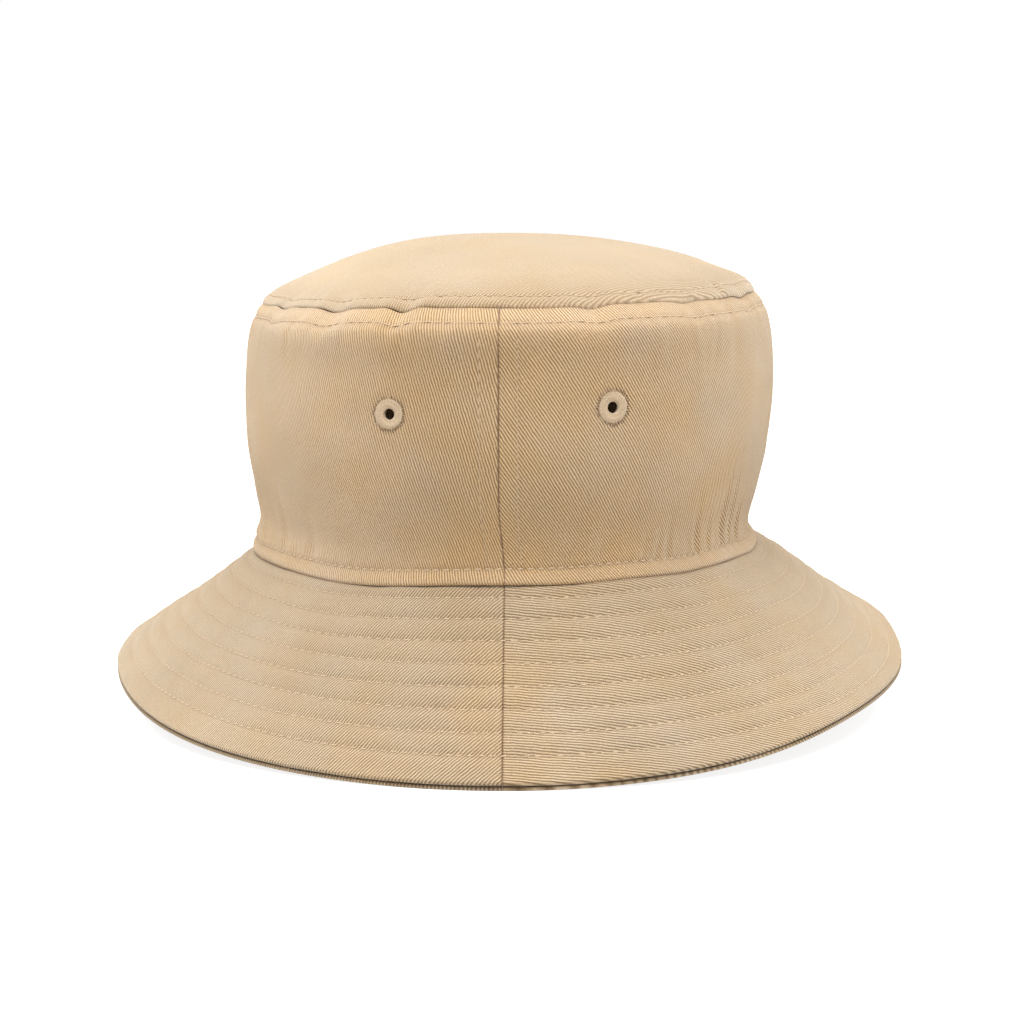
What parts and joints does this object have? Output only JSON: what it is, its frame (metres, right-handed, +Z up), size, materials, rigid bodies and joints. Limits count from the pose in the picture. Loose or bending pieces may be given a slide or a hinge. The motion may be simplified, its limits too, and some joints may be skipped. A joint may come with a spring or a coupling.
{
  "type": "bucket hat",
  "caption": "Soft bucket hat: oval domed tip, two-panel crown with stitched vent eyelets, and a sloping brim sewn in rings, lined with a sweatband and seam tapes.",
  "frame": {"origin": "centre of the hat's footprint, on the surface that the brim stands on", "axes": "+Z up through the tip, -Y towards the front seam between the two front eyelets, +X towards the right of a viewer who faces the front"},
  "size_m": [0.2554, 0.2743, 0.1513],
  "materials": {
    "tip_twill": "washed cotton twill, matte",
    "crown_twill": "washed cotton twill, matte",
    "brim_twill": "washed cotton twill, matte",
    "interlining": "stiff non-woven, matte",
    "band_cotton": "plain-weave cotton, matte",
    "tape_cotton": "plain-weave cotton tape, matte",
    "eyelet_thread": "satin stitch thread, soft sheen",
    "thread": "spun polyester sewing thread, soft sheen"
  },
  "bodies": {
    "root": {"crown_tip": "tip_twill", "crown_side_left": "crown_twill", "crown_side_right": "crown_twill", "brim_upper_left": "brim_twill", "brim_upper_right": "brim_twill", "brim_under_left": "brim_twill", "brim_under_right": "brim_twill", "brim_interlining_left": "interlining", "brim_interlining_right": "interlining", "sweatband": "band_cotton", "tip_seam_tape": "tape_cotton", "front_seam_tape": "tape_cotton", "back_seam_tape": "tape_cotton", "eyelet_front_left": "eyelet_thread", "eyelet_front_right": "eyelet_thread", "eyelet_back_left": "eyelet_thread", "eyelet_back_right": "eyelet_thread", "tip_topstitch": "thread", "side_topstitch": "thread", "base_topstitch": "thread", "sweatband_stitch": "thread", "front_seam_topstitch": "thread", "back_seam_topstitch": "thread", "brim_row_1": "thread", "brim_row_2": "thread", "brim_row_3": "thread", "brim_row_4": "thread", "brim_row_5": "thread", "brim_row_6": "thread", "brim_row_7": "thread", "brim_row_8": "thread"}
  },
  "joints": []
}
